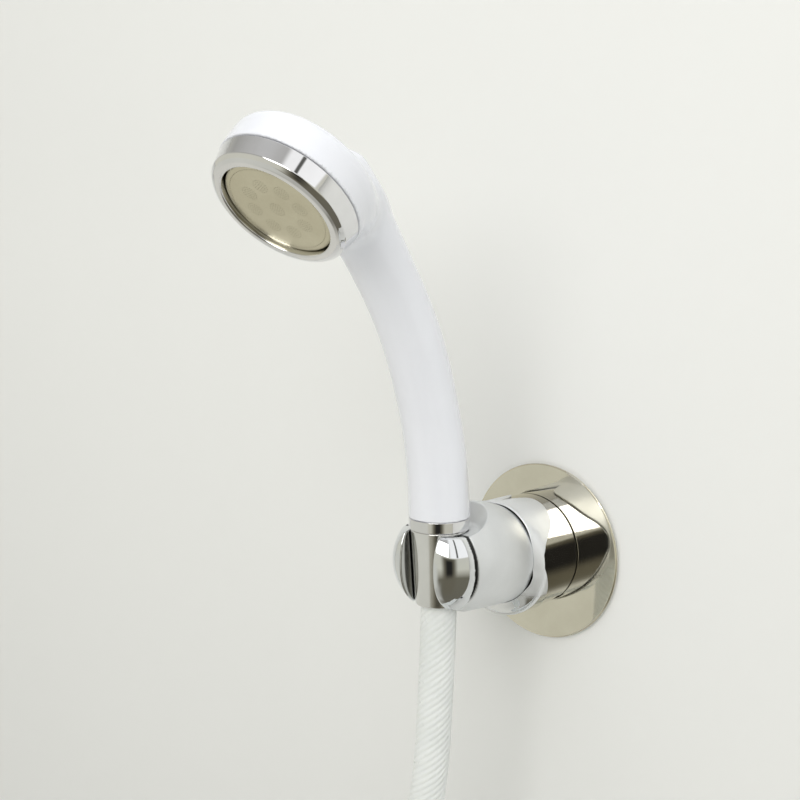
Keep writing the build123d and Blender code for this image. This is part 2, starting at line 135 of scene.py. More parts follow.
def lathe(name, profile, origin, axis, segs=192, angles=None, warp=None):
    """Closed profile (r, t, nr, nt) turned about an axis; profiles that reach r = 0 close there."""
    o, a = np.array(origin, float), np.array(axis, float)
    a = a / np.linalg.norm(a)
    x = np.array((1.0, 0, 0)) if abs(a[0]) < 0.9 else np.array((0, 1.0, 0))
    x = x - a * (x @ a)
    x = x / np.linalg.norm(x)
    y = np.cross(a, x)
    if angles is None:
        angles = np.linspace(0, 2 * math.pi, segs, endpoint=False)
    P = np.array(profile, float)
    m, k = len(P), len(angles)
    V, N = [], []
    for ang in angles:
        u = x * math.cos(ang) + y * math.sin(ang)
        t = P[:, 1] if warp is None else warp(ang, P)
        V.append(o + np.outer(P[:, 0], u) + np.outer(t, a))
        N.append(np.outer(P[:, 2], u) + np.outer(P[:, 3], a))
    V, N = np.concatenate(V), np.concatenate(N)
    F = []
    for j in range(k):
        j2 = (j + 1) % k
        for i in range(m):
            i2 = (i + 1) % m
            if P[i, 0] < 1e-6 and P[i2, 0] < 1e-6:
                continue
            F.append((j * m + i, j2 * m + i, j2 * m + i2, j * m + i2))
    on_axis = [i for i in range(m) if P[i, 0] < 1e-6]
    if on_axis:
        keep = np.arange(len(V))
        for i in on_axis:
            for j in range(1, k):
                keep[j * m + i] = i
        used = np.unique(keep)
        new = np.full(len(V), -1)
        new[used] = np.arange(len(used))
        F2 = []
        for f in F:
            g = []
            for q in f:
                w = new[keep[q]]
                if w not in g:
                    g.append(w)
            if len(g) > 2:
                F2.append(tuple(g))
        V, N, F = V[used], N[used], F2
    return put(name, V, F, N)


def smin(a, b, k):
    h = np.maximum(k - np.abs(a - b), 0) / k
    return np.minimum(a, b) - h * h * k * 0.25


def smax(a, b, k):
    return -smin(-a, -b, k)


def step(x, a, b):
    t = np.clip((x - a) / (b - a), 0, 1)
    return t * t * (3 - 2 * t)


def gradient(fun, P, e=0.02):
    g = np.empty_like(P)
    for i in range(3):
        d = np.zeros(3)
        d[i] = e
        g[:, i] = (fun(P + d) - fun(P - d)) / (2 * e)
    return g


def implicit(fun, lo, hi, h, block=4, relax=2):
    """Surface of fun = 0 in a box, as vertices, quads and exact normals."""
    lo, hi = np.array(lo, float), np.array(hi, float)
    dims = (np.ceil((hi - lo) / (h * block)).astype(int)) * block
    coarse = dims // block
    cc = [lo[i] + (np.arange(coarse[i]) + 0.5) * h * block - 0.5 * h for i in range(3)]
    G = np.stack(np.meshgrid(*cc, indexing="ij"), -1).reshape(-1, 3)
    fc = fun(G).reshape(coarse)
    near = np.abs(fc) < h * block * 1.35
    F = np.where(fc > 0, 1e3, -1e3)
    for ax in range(3):
        F = np.repeat(F, block, axis=ax)
        near = np.repeat(near, block, axis=ax)
    idx = np.argwhere(near)
    F[near] = fun(lo + idx * h)
    inside = F < 0
    corner = np.zeros(np.array(F.shape) - 1, int)
    for dx in (0, 1):
        for dy in (0, 1):
            for dz in (0, 1):
                corner += inside[dx:F.shape[0] - 1 + dx, dy:F.shape[1] - 1 + dy, dz:F.shape[2] - 1 + dz]
    cells = np.argwhere((corner > 0) & (corner < 8))
    ids = np.full(corner.shape, -1)
    ids[tuple(cells.T)] = np.arange(len(cells))
    acc = np.zeros((len(cells), 3))
    cnt = np.zeros(len(cells))
    offs = [(0, 0, 0), (1, 0, 0), (0, 1, 0), (0, 0, 1), (1, 1, 0), (1, 0, 1), (0, 1, 1), (1, 1, 1)]
    vals = {o: F[tuple((cells + np.array(o)).T)] for o in offs}
    for o in offs:
        for ax in range(3):
            if o[ax]:
                continue
            o2 = tuple(o[i] + (i == ax) for i in range(3))
            a, b = vals[o], vals[o2]
            cr = (a < 0) != (b < 0)
            t = np.where(cr, a / np.where(cr, a - b, 1), 0)
            t = np.clip(t, 0.02, 0.98)
            p = np.array(o, float) + np.outer(t, np.eye(3)[ax])
            acc[cr] += p[cr]
            cnt[cr] += 1
    V = lo + (cells + acc / cnt[:, None]) * h
    quads = []
    for ax in range(3):
        b, c = (ax + 1) % 3, (ax + 2) % 3
        sl = [slice(None)] * 3
        sl[ax] = slice(0, -1)
        sh = [slice(None)] * 3
        sh[ax] = slice(1, None)
        s0, s1 = inside[tuple(sl)], inside[tuple(sh)]
        e = np.argwhere(s0 != s1)
        e = e[(e[:, b] > 0) & (e[:, c] > 0) & (e[:, b] < F.shape[b] - 1) & (e[:, c] < F.shape[c] - 1)]
        flip = ~s0[tuple(e.T)]
        def at(db, dc):
            q = e.copy()
            q[:, b] -= db
            q[:, c] -= dc
            return ids[tuple(q.T)]
        q = np.stack([at(1, 1), at(0, 1), at(0, 0), at(1, 0)], 1)
        q[flip] = q[flip][:, ::-1]
        quads.append(q[(q >= 0).all(1)])
    Q = np.concatenate(quads)
    # even the mesh out along the surface, then settle it on the surface
    edges = np.concatenate([Q[:, [0, 1]], Q[:, [1, 2]], Q[:, [2, 3]], Q[:, [3, 0]]])
    deg = np.bincount(edges.ravel(), minlength=len(V)).astype(float)
    for it in range(relax + 1):
        for _ in range(2):
            g = gradient(fun, V)
            n2 = np.maximum((g * g).sum(1), 0.05)
            move = (fun(V) / n2)[:, None] * g
            ln = np.linalg.norm(move, axis=1)
            move *= np.minimum(1, 0.6 * h / np.maximum(ln, 1e-9))[:, None]
            V = V - move
        if it < relax:
            s = np.zeros_like(V)
            for i in range(3):
                s[:, i] = np.bincount(edges[:, 0], V[edges[:, 1], i], len(V)) + np.bincount(edges[:, 1], V[edges[:, 0], i], len(V))
            d = s / deg[:, None] - V
            g = gradient(fun, V)
            g /= np.maximum(np.linalg.norm(g, axis=1), 1e-9)[:, None]
            V = V + 0.5 * (d - (d * g).sum(1)[:, None] * g)
    g = gradient(fun, V)
    g /= np.maximum(np.linalg.norm(g, axis=1), 1e-9)[:, None]
    return V, Q, g


# ------------------------------------------------------------------ materials
class Look:
    """A node material with a Principled shader and textures in object space."""

    def __init__(self, name, **sockets):
        self.mat = bpy.data.materials.new(name)
        self.mat.use_nodes = True
        self.nt = self.mat.node_tree
        self.nt.nodes.clear()
        self.out = self.nt.nodes.new("ShaderNodeOutputMaterial")
        self.bsdf = self.nt.nodes.new("ShaderNodeBsdfPrincipled")
        self.nt.links.new(self.bsdf.outputs[0], self.out.inputs[0])
        self.coord = self.nt.nodes.new("ShaderNodeTexCoord").outputs["Object"]
        for k, v in sockets.items():
            self.bsdf.inputs[k.replace("_", " ")].default_value = v

    def noise(self, scale, detail=3.0, rough=0.55, stretch=None):
        src = self.coord
        if stretch:
            mp = self.nt.nodes.new("ShaderNodeMapping")
            mp.inputs["Scale"].default_value = stretch
            self.nt.links.new(src, mp.inputs["Vector"])
            src = mp.outputs["Vector"]
        t = self.nt.nodes.new("ShaderNodeTexNoise")
        t.inputs["Scale"].default_value = scale
        t.inputs["Detail"].default_value = detail
        t.inputs["Roughness"].default_value = rough
        self.nt.links.new(src, t.inputs["Vector"])
        return t.outputs["Fac"]

    def cells(self, scale, feature="F1"):
        t = self.nt.nodes.new("ShaderNodeTexVoronoi")
        t.feature = feature
        t.inputs["Scale"].default_value = scale
        self.nt.links.new(self.coord, t.inputs["Vector"])
        return t.outputs["Distance"]

    def ramp(self, fac, stops):
        r = self.nt.nodes.new("ShaderNodeValToRGB")
        el = r.color_ramp.elements
        while len(el) > 1:
            el.remove(el[0])
        el[0].position, el[0].color = stops[0][0], (*stops[0][1], 1)
        for pos, col in stops[1:]:
            e = el.new(pos)
            e.color = (*col, 1)
        self.nt.links.new(fac, r.inputs["Fac"])
        return r.outputs["Color"]

    def span(self, fac, lo, hi, a=0.3, b=0.7):
        m = self.nt.nodes.new("ShaderNodeMapRange")
        m.inputs["From Min"].default_value = a
        m.inputs["From Max"].default_value = b
        m.inputs["To Min"].default_value = lo
        m.inputs["To Max"].default_value = hi
        self.nt.links.new(fac, m.inputs["Value"])
        return m.outputs["Result"]

    def attr(self, name):
        a = self.nt.nodes.new("ShaderNodeAttribute")
        a.attribute_name = name
        return a.outputs["Fac"]

    def link(self, out, socket):
        self.nt.links.new(out, self.bsdf.inputs[socket])

    def bump(self, pairs):
        """pairs of (height output, strength, distance in metres), chained."""
        prev = None
        for h, strength, dist in pairs:
            b = self.nt.nodes.new("ShaderNodeBump")
            b.inputs["Strength"].default_value = strength
            b.inputs["Distance"].default_value = dist
            self.nt.links.new(h, b.inputs["Height"])
            if prev:
                self.nt.links.new(prev, b.inputs["Normal"])
            prev = b.outputs["Normal"]
        self.nt.links.new(prev, self.bsdf.inputs["Normal"])


def metal(name, dark, light, r0, r1, wave=0.0, grain=0.0, grain_scale=2500, stretch=None, grime=45):
    k = Look(name, Metallic=1.0)
    k.link(k.ramp(k.noise(grime, 4), [(0.35, dark), (0.65, light)]), "Base Color")
    k.link(k.span(k.noise(grain_scale * 0.2, 4, 0.6, stretch), r0, r1), "Roughness")
    pairs = []
    if wave:
        pairs.append((k.noise(70, 2, 0.4), wave, 0.0004))
    if grain:
        pairs.append((k.noise(grain_scale, 3, 0.6, stretch), grain, 0.00006))
    if pairs:
        k.bump(pairs)
    return k.mat


chrome = metal("chrome", (0.74, 0.74, 0.75), (0.80, 0.80, 0.81), 0.02, 0.05, wave=0.03)
brushed_chrome = metal("brushed_chrome", (0.74, 0.74, 0.735), (0.81, 0.81, 0.805), 0.13, 0.22, wave=0.02)
mirror_plate = metal("mirror_plate", (0.70, 0.668, 0.562), (0.76, 0.728, 0.62), 0.035, 0.07, wave=0.012)
steel = metal("steel", (0.50, 0.50, 0.50), (0.62, 0.62, 0.61), 0.22, 0.38, grain=0.12)
brass = metal("brass", (0.62, 0.44, 0.18), (0.74, 0.56, 0.28), 0.18, 0.34, grain=0.12)
spray_metal = metal("spray_metal", (0.615, 0.575, 0.435), (0.675, 0.635, 0.492), 0.30, 0.40, grain=0.10, grain_scale=5000)

# satin chrome that turns to a mirror polish where the "polish" attribute says so, and that is painted near-black down
# in the crease round the caps and in the gap under the collar's lip: painted shade standing in for the shade in these
# gaps
k = Look("satin_chrome", Metallic=1.0)
satin_tone = k.ramp(k.noise(60, 4), [(0.35, (0.73, 0.745, 0.76)), (0.65, (0.78, 0.795, 0.81))])
# painted shade: near-black base colour mixed in where the crease and lip-gap mask is set
crease_shade = k.nt.nodes.new("ShaderNodeMix")
crease_shade.data_type = "RGBA"
k.nt.links.new(k.attr("crease_shade"), crease_shade.inputs[0])
k.nt.links.new(satin_tone, crease_shade.inputs[6])
crease_shade.inputs[7].default_value = (0.035, 0.035, 0.035, 1)
k.link(crease_shade.outputs[2], "Base Color")
satin = k.span(k.noise(90, 3), 0.40, 0.47)
mx = k.nt.nodes.new("ShaderNodeMix")
mx.data_type = "FLOAT"
k.nt.links.new(k.attr("polish"), mx.inputs[0])
k.nt.links.new(satin, mx.inputs[2])
k.nt.links.new(k.span(k.noise(60, 3), 0.025, 0.05), mx.inputs[3])
k.link(mx.outputs[0], "Roughness")
metal = k.nt.nodes.new("ShaderNodeMix")
metal.data_type = "FLOAT"
k.nt.links.new(k.attr("polish"), metal.inputs[0])
k.nt.links.new(k.span(k.attr("skirt"), 0.78, 0.5, 0.0, 1.0), metal.inputs[2])
metal.inputs[3].default_value = 1.0
k.link(metal.outputs[0], "Metallic")
k.bump([(k.noise(80, 2, 0.4), 0.03, 0.0004)])
satin_chrome = k.mat

k = Look("white_abs", IOR=1.52, Specular_IOR_Level=0.5, Coat_Weight=0.25, Coat_Roughness=0.06)
k.link(k.ramp(k.noise(28, 5), [(0.3, (0.775, 0.790, 0.850)), (0.7, (0.808, 0.822, 0.880))]), "Base Color")
k.link(k.span(k.noise(160, 4), 0.16, 0.26), "Roughness")
k.bump([(k.noise(110, 2, 0.4), 0.02, 0.0006), (k.noise(2600, 2), 0.03, 0.00005)])
white_abs = k.mat

k = Look("hose_pvc", IOR=1.5, Subsurface_Weight=0.25, Subsurface_Radius=(0.004, 0.004, 0.0045), Subsurface_Scale=0.6)
k.link(k.ramp(k.noise(55, 5), [(0.3, (0.72, 0.745, 0.74)), (0.7, (0.79, 0.81, 0.805))]), "Base Color")
k.link(k.span(k.noise(300, 4), 0.25, 0.42), "Roughness")
k.bump([(k.noise(1500, 3), 0.06, 0.00008)])
hose_pvc = k.mat

k = Look("rubber", IOR=1.5, Specular_IOR_Level=0.35)
k.link(k.ramp(k.noise(120, 5), [(0.3, (0.028, 0.028, 0.029)), (0.7, (0.052, 0.052, 0.053))]), "Base Color")
k.link(k.span(k.noise(500, 4), 0.5, 0.72), "Roughness")
k.bump([(k.noise(2200, 4), 0.25, 0.00008)])
rubber = k.mat

k = Look("cup_rubber", IOR=1.45, Transmission_Weight=0.0)
k.link(k.ramp(k.noise(90, 5), [(0.3, (0.42, 0.44, 0.44)), (0.7, (0.52, 0.54, 0.54))]), "Base Color")
k.link(k.span(k.noise(400, 4), 0.28, 0.45), "Roughness")
k.bump([(k.noise(1800, 3), 0.12, 0.00008)])
cup_rubber = k.mat

k = Look("acetal", IOR=1.48)
k.link(k.ramp(k.noise(100, 5), [(0.3, (0.70, 0.69, 0.65)), (0.7, (0.78, 0.77, 0.73))]), "Base Color")
k.link(k.span(k.noise(500, 4), 0.35, 0.5), "Roughness")
k.bump([(k.noise(1600, 3), 0.08, 0.00006)])
acetal = k.mat

k = Look("pad_foam", IOR=1.4, Specular_IOR_Level=0.25)
k.link(k.ramp(k.cells(900), [(0.0, (0.50, 0.50, 0.49)), (0.6, (0.66, 0.66, 0.64))]), "Base Color")
k.link(k.span(k.noise(400, 4), 0.75, 0.92), "Roughness")
k.bump([(k.cells(900), 0.5, 0.0002), (k.noise(3000, 3), 0.3, 0.0001)])
pad_foam = k.mat

k = Look("tie_plastic", IOR=1.5, Specular_IOR_Level=0.4)
k.link(k.ramp(k.noise(150, 5), [(0.3, (0.055, 0.057, 0.06)), (0.7, (0.085, 0.087, 0.09))]), "Base Color")
k.link(k.span(k.noise(700, 4), 0.35, 0.55), "Roughness")
k.bump([(k.noise(2500, 3), 0.15, 0.00006)])
tie_plastic = k.mat

# ------------------------------------------------------------------ hose: one smooth line, then its ribbed tube
HOSE_R = 7.6
route = [
    (0.0, -66.75, 4.6), (0.0, -66.75, -18.7), (-1.4, -66.8, -48.7), (-4.2, -67.05, -94.7),
    (-15.5, -67.55, -135.7), (-36.5, -68.05, -174.7), (-60.0, -68.55, -217.1), (-74.6, -69.15, -264.9),
]
COIL_R, COIL_Z, COIL_Y0, PITCH, COIL_IN, COIL_OUT = 78.0, -287.7, -69.15, 15.6, 163.0, 1080.0
TURN = 22.5
ang = COIL_IN + TURN * 0.75
while ang < COIL_OUT - 4:
    a = math.radians(ang)
    r = COIL_R * 1.0194
    route.append((r * math.cos(a), COIL_Y0 + PITCH * (ang - COIL_IN) / 360, COIL_Z + r * math.sin(a)))
    ang += TURN
COIL_Y1 = COIL_Y0 + PITCH * (COIL_OUT - COIL_IN) / 360
tail_d = np.array((0.10, 0, 0.995)) / math.hypot(0.10, 0.995)
tail_o = np.array((COIL_R, COIL_Y1, COIL_Z))
route.append(tuple(tail_o + tail_d * 12.0))
route.append(tuple(tail_o + tail_d * 48.2))

line = bpy.data.curves.new("hose_line", "CURVE")
line.dimensions = "3D"
line.resolution_u = 16
sp = line.splines.new("NURBS")
sp.points.add(len(route) - 1)
for p, q in zip(sp.points, route):
    p.co = (q[0] * MM, q[1] * MM, q[2] * MM, 1)
sp.order_u = 3
sp.use_endpoint_u = True
line_ob = bpy.data.objects.new("hose_line", line)
scene.collection.objects.link(line_ob)
bpy.context.view_layer.update()
tmp = bpy.data.meshes.new_from_object(line_ob)
hose_pts = np.array([v.co for v in tmp.vertices], float) / MM
bpy.data.meshes.remove(tmp)
bpy.data.objects.remove(line_ob)
bpy.data.curves.remove(line)


def even(points, step_mm):
    seg = np.linalg.norm(np.diff(points, axis=0), axis=1)
    at = np.concatenate([[0], np.cumsum(seg)])
    n = int(round(at[-1] / step_mm))
    t = np.linspace(0, at[-1], n + 1)
    return np.stack([np.interp(t, at, points[:, i]) for i in range(3)], 1), at[-1]


def frames(C):
    """Tangents and twist-free side vectors along a line."""
    T = np.gradient(C, axis=0)
    T /= np.linalg.norm(T, axis=1)[:, None]
    A = np.empty_like(C)
    n = np.array((1.0, 0, 0)) - T[0] * T[0][0]
    A[0] = n / np.linalg.norm(n)
    for i in range(1, len(C)):
        n = A[i - 1] - T[i] * (A[i - 1] @ T[i])
        A[i] = n / np.linalg.norm(n)
    return T, A, np.cross(A, T)


def hose_tube(name, points, radius, starts, lead, depth, cols_per=6, step_mm=1.0):
    C, length = even(points, step_mm)
    # light smoothing of the sampled line, ends kept
    for _ in range(3):
        C[1:-1] = 0.25 * C[:-2] + 0.5 * C[1:-1] + 0.25 * C[2:]
    T, A, B = frames(C)
    k = starts * cols_per
    s = np.linspace(0, length, len(C))
    ph = np.arange(k) / cols_per
    prof = radius - depth * (1 - np.abs(np.sin(np.pi * ph)) ** 0.8)
    fi = 2 * np.pi * (np.arange(k) / k)[None, :] - 2 * np.pi * s[:, None] / lead
    V = C[:, None, :] + prof[None, :, None] * (np.cos(fi)[..., None] * A[:, None, :] + np.sin(fi)[..., None] * B[:, None, :])
    m = len(C)
    V = V.reshape(-1, 3)
    i, j = np.meshgrid(np.arange(m - 1), np.arange(k), indexing="ij")
    j2 = (j + 1) % k
    F = np.stack([i * k + j, i * k + j2, (i + 1) * k + j2, (i + 1) * k + j], -1).reshape(-1, 4).tolist()
    V = np.concatenate([V, C[[0, -1]]])
    a, b = m * k, m * k + 1
    F += [(a, (q + 1) % k, q) for q in range(k)]
    F += [(b, (m - 1) * k + q, (m - 1) * k + (q + 1) % k) for q in range(k)]
    return put(name, V, F), length


hose, hose_len = hose_tube("hose", hose_pts, HOSE_R, 12, 36.0, 0.42)
place(hose, "hose", hose_pvc, ("hose_run", "hose_coil", "hose_end"))

# ------------------------------------------------------------------ wall plate and dial
Y_OUT = (0, -1, 0)
plate = lathe("wall_plate_polished", rounded([
    (0, 1.0, 0), (39.25, 1.0, 0.12), (39.4, 1.15, 0.1), (39.4, 1.72, 0.25), (38.7, 2.0, 0.9), (0, 2.0, 0)]),
    (5.8, 0, -0.3), Y_OUT, 256)
place(plate, "base", mirror_plate, ("wall_plate",))

ring_prof = rounded([
    (23.4, 2.6, 0.15), (24.8, 2.6, 0.2), (24.8, 27.0, 1.0), (9.06, 27.0, 0.2), (9.06, 16.8, 0.15), (13.2, 16.8, 0.2),
    (13.2, 11.2, 0.2), (9.06, 11.2, 0.15), (9.06, 10.2, 0.15), (15.2, 10.2, 0.3), (15.2, 24.5, 0.5), (23.4, 24.5, 0.5)])
# angles run from +X towards +Z when turned about the outward axis
n0, n1 = math.radians(302.0), math.radians(312.0)
base_angles = [q for q in np.linspace(0, 2 * math.pi, 240, endpoint=False) if not (n0 - 0.004 < q < n1 + 0.004)]
mark = list(np.linspace(n0 + 0.003, n1 - 0.003, 9))
ring_angles = sorted(base_angles + [n0 - 0.003, n1 + 0.003] + mark)


def notch(angle, P):
    t = P[:, 1].copy()
    if n0 < angle < n1:
        rear = (t < 4.5)
        t[rear] = t[rear] + 2.4
    return t


dial = lathe("dial_ring_chrome", ring_prof, (0, 0, 0), Y_OUT, angles=ring_angles, warp=notch)
place(dial, "dial", chrome, ("dial_ring",))

# soft cup: a rim on the plate and a middle up at the drawbar, turned as one piece
cup = lathe("suction_cup_soft", rounded([
    (0, 4.6, 0), (10.0, 4.6, 2.0), (12.0, 3.95, 0), (14.0, 3.3, 0), (16.0, 2.65, 0), (18.0, 2.03, 0.6), (22.6, 2.03, 0.1),
    (22.6, 3.2, 0.4), (20.3, 4.0, 0), (18.0, 4.8, 1.0), (15.7, 5.59, 0), (13.3, 6.41, 0), (11.0, 7.2, 0.6),
    (4.05, 7.2, 0.15), (4.05, 6.75, 0.05), (8.05, 6.75, 0.1), (8.05, 5.45, 0.1), (0, 5.45, 0)]), (0, 0, 0), Y_OUT, 160)
cup.data.materials.append(cup_rubber)
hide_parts("suction_cup")
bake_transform(cup)


# ------------------------------------------------------------------ hook
def nut_r(t):
    return 12.0 - (-4.75 - t) * 2.1 / 32.25


def hook_parts(P):
    x, s, z = P[:, 0], -P[:, 1], P[:, 2]
    zc = 6.3 - 0.00246 * np.clip(67 - s, 0, None) ** 2
    rm = 23.4 - 0.0041 * np.clip(49.5 - s, 0, None) ** 2
    rho = np.sqrt(x * x + (z - zc) ** 2)
    u = np.clip(s - 50, 0, None) / 32.0
    body = rm * (((rho / rm) ** 2.9 + u ** 2.9) ** (1 / 2.9) - 1)
    return x, s, z, zc, rm, rho, body


def crease_s(z):
    return 68.2 + 0.05 * (z - 8)


def hook_field(P):
    x, s, z, zc, rm, rho, body = hook_parts(P)
    t = z - 25.1
    skin = body
    # crease round the polished front caps, deepest at the sides
    side = step(np.abs(x) / np.maximum(np.sqrt(x * x + (z - zc - 2.0) ** 2), 1e-6), 0.60, 0.90)
    crease = np.sqrt((s - crease_s(z)) ** 2 + (skin * 0.75) ** 2) - (1.05 * side - 0.25)
    f = smax(body, -crease, 0.25)
    f = smax(f, 27.45 - s, 0.3)
    rr = np.sqrt(x * x + z * z)
    # seat for the nut, recess round it, front gap and lowered prong tops
    d = np.sqrt(x * x + (s - 66.75) ** 2)
    bore = d - (nut_r(t) + 0.3)
    counter = smax((d - (17.0 + (t + 5.4) * 0.674)) * 0.83, -5.4 - t, 1.2)
    f = smax(f, -np.minimum(bore, counter), 0.8)
    gap = np.maximum(np.abs(x) - 8.75, 66.75 - s)
    f = smax(f, -gap, 0.8)
    tops = smax(66.75 - s, -4.95 - t, 0.5)
    f = smax(f, -tops, 1.4)
    # socket, screw hole and screw recess
    f = smax(f, -np.maximum(rr - 9.06, s - 31.9), 0.3)
    f = smax(f, -np.maximum(rr - 2.4, s - 52), 0.2)
    f = smax(f, -np.maximum(np.maximum(rr - 5.1, 47.65 - s), s - 60.15), 0.2)
    return f


# rear edge of the collar's two petals: height against distance from the wall, evened out
edge_z = (-26.5, -25.8, -22.0, -19.0, -15.1, -10.2, -5.1, 0.0, 4.8, 9.0, 12.7, 15.2, 17.3, 20.2, 23.0, 25.0, 26.5)
edge_s = (10.6, 11.0, 14.5, 17.0, 19.4, 21.7, 24.4, 26.9, 26.7, 24.4, 20.0, 16.3, 13.8, 11.6, 9.9, 10.1, 10.4)
wave_z = np.linspace(-27, 27, 541)
wave_s = np.convolve(np.pad(np.interp(wave_z, edge_z, edge_s), 12, mode="edge"), np.hanning(27)[1:-1] / np.hanning(27).sum(), "valid")


def collar():
    """Collar with a skirt that reaches back over the dial in two petals and a lip in front."""
    n = 360
    fi = 2 * math.pi * np.arange(n) / n
    side = np.degrees(np.arcsin(np.clip(np.sin(fi), -1, 1)))
    gap = 0.06 + 0.95 * step(side, 12, 45) * (1 - 0.75 * step(side, 58, 95)) + 0.85 * step(-side, 8, 20) * (1 - step(-side, 24, 42))
    se = np.interp(25.3 * np.sin(fi), wave_z, wave_s)
    # the ring shows between the petals at the top
    se = se + (25.4 - se) * np.clip((side - 66) / 24, 0, 1) ** 4
    lip = 21.75 + gap
    top = lip + 0.8

    def skirt(s):
        b = np.clip((s - 24.6) / 5.4, 0, 1) ** 2.1
        return 25.6 + (top - 25.6) * b, 2.8 * b

    rows = []
    for k in np.linspace(0, 1, 9):
        rows.append((np.full(n, 24.95), np.zeros(n), 27.3 + (se + 0.18 - 27.3) * k))
    ro, zo = skirt(se)
    for k, up in ((0.12, 0.05), (0.35, 0.0), (0.65, 0.0), (0.9, 0.05)):
        rows.append((24.95 + (ro - 24.95) * k, zo * k, se + up))
    for k in np.linspace(0, 1, 26):
        s = se + 0.18 + (29.95 - se - 0.18) * k
        r, z = skirt(s)
        rows.append((r, z, s))
    for dr, s in ((0.55, 30.28), (0.3, 30.42), (0.1, 30.36), (0.0, 30.1), (-0.02, 29.3), (-0.15, 28.7), (-0.6, 28.45)):
        rows.append((lip + dr, np.full(n, 2.8), np.full(n, s)))
    rows.append((np.full(n, 20.2), np.full(n, 1.4), np.full(n, 28.4)))
    rows.append((np.full(n, 20.2), np.full(n, 0.7), np.full(n, 27.35)))
    G = np.array([[r * np.cos(fi), -s, z + r * np.sin(fi)] for r, z, s in rows]).transpose(0, 2, 1)
    m = len(rows)
    du = np.roll(G, -1, 1) - np.roll(G, 1, 1)
    dv = np.roll(G, -1, 0) - np.roll(G, 1, 0)
    N = np.cross(du, dv)
    N /= np.maximum(np.linalg.norm(N, axis=2), 1e-9)[..., None]
    mid = 24
    flip = (N[mid, 0] @ np.array((1.0, 0, 0))) < 0
    if flip:
        N = -N
    F = []
    for i in range(m):
        i2 = (i + 1) % m
        for j in range(n):
            j2 = (j + 1) % n
            f = (i * n + j, i * n + j2, i2 * n + j2, i2 * n + j)
            F.append(f[::-1] if flip else f)
    return G.reshape(-1, 3), np.array(F), N.reshape(-1, 3)


hv, hq, hn = implicit(hook_field, (-24.6, -83.2, -20.4), (24.6, -26.2, 31), 0.5)
cv, cq, cn = collar()
body_count = len(hv)
hq = np.concatenate([hq, cq + body_count])
hv = np.concatenate([hv, cv])
hn = np.concatenate([hn, cn])
hook = put("hook_body", hv, hq, hn)
hs = -hv[:, 1]
front = step(hs - crease_s(hv[:, 2]), -0.35, 0.25)
inner = step(8.75 + 0.5 - np.abs(hv[:, 0]), 0.0, 0.4) * step(hs, 66.0, 67.5)
low = step(-hv[:, 2], 11.0, 16.0) * (np.arange(len(hv)) >= body_count)
polish = np.clip(np.maximum(np.maximum(front, inner), low), 0, 1)
at = hook.data.attributes.new("polish", "FLOAT", "POINT")
at.data.foreach_set("value", polish.astype(np.float32))
skin = hook_parts(hv)[6]
flank = np.abs(hv[:, 0]) / np.maximum(np.hypot(hv[:, 0], hv[:, 2] - hook_parts(hv)[3] - 2.0), 1e-6)
# painted shade: the crease round the caps, the body just under the collar's lip and the lip's underside are marked here
# for the near-black base colour that stands in for the shade in these gaps
in_crease = step(-skin, 0.16, 0.46) * step(1.4 - np.abs(hs - crease_s(hv[:, 2])), 0.0, 0.5) * step(flank, 0.60, 0.80) * (np.abs(hv[:, 0]) > 9.6)
under_lip = step(30.35 - hs, 0.0, 0.35)
lip_gap_shade = np.zeros(len(cv))
lip_gap_shade[(9 + 4 + 26 + 3) * 360:] = 1.0
dark = np.concatenate([np.maximum(in_crease, under_lip)[:body_count], lip_gap_shade])
at = hook.data.attributes.new("skirt", "FLOAT", "POINT")
at.data.foreach_set("value", (np.arange(len(hv)) >= body_count).astype(np.float32))
at = hook.data.attributes.new("crease_shade", "FLOAT", "POINT")
at.data.foreach_set("value", dark.astype(np.float32))
place(hook, "hook", satin_chrome, ("hook",))

# ------------------------------------------------------------------ handset
SEAT = (0, -66.75, 25.1)
UP = (0, 0, 1)
band = lathe("chrome_band", rounded([
    (6.0, -14.5, 0.1), (9.7, -14.5, 0.1), (10.2, -14.0, 0.1), (10.2, -4.75, 0.1), (12.75, -4.75, 0.45), (12.75, -0.05, 0.3),
    (12.2, 0.0, 0.1), (9.0, 0.0, 0.1), (9.0, 5.0, 0.1), (7.2, 5.0, 0.1), (7.2, 7.0, 0.1), (9.0, 7.0, 0.1),
    (9.0, 11.4, 0.2), (8.4, 12.0, 0.2), (6.0, 12.0, 0.1)]), SEAT, UP, 192)
place(band, "handset", chrome, ("handle_adapter",))

T0, T1 = -4.85, -37.0
nut = lathe("cone_nut", rounded([
    (10.26, T0, 0.1), (nut_r(T0), T0, 0.55), (nut_r(T1), T1, 2.2), (7.95, T1, 0.3), (7.95, -18.1, 0.1), (10.26, -18.1, 0.1)], 8),
    SEAT, UP, 192)
place(nut, "handset", brushed_chrome, ("hose_cone_nut",))

HEAD = np.array((0, -157.85, 152.3))
q = math.sqrt(0.5)
HW = np.array((0, q, q))
HE = np.array((0, q, -q))
face = lathe("face_ring_chrome", rounded([
    (22.55, 3.4, 0.1), (22.55, -0.75, 0.7), (23.3, -1.2, 0.9), (25.0, -1.05, 2.5), (26.5, -0.3, 2.2), (27.85, 1.15, 1.3),
    (29.25, 8.42, 0.3), (26.3, 8.42, 0.1), (26.3, 3.4, 0.1)], 9), HEAD, HW, 224)
place(face, "handset", chrome, ("face_ring",))

spine_ctrl = np.array([
    (-66.75, 19.0, 12.75), (-66.75, 25.1, 12.75), (-67.6, 40.3, 12.65), (-69.85, 55.8, 12.45), (-73.35, 70.4, 12.3),
    (-77.85, 84.9, 12.3), (-83.65, 99.7, 12.25), (-91.05, 113.8, 12.1), (-99.15, 126.4, 12.1), (-107.75, 138.7, 12.4),
    (-116.75, 150.5, 12.9), (-127.55, 164.3, 13.0)])


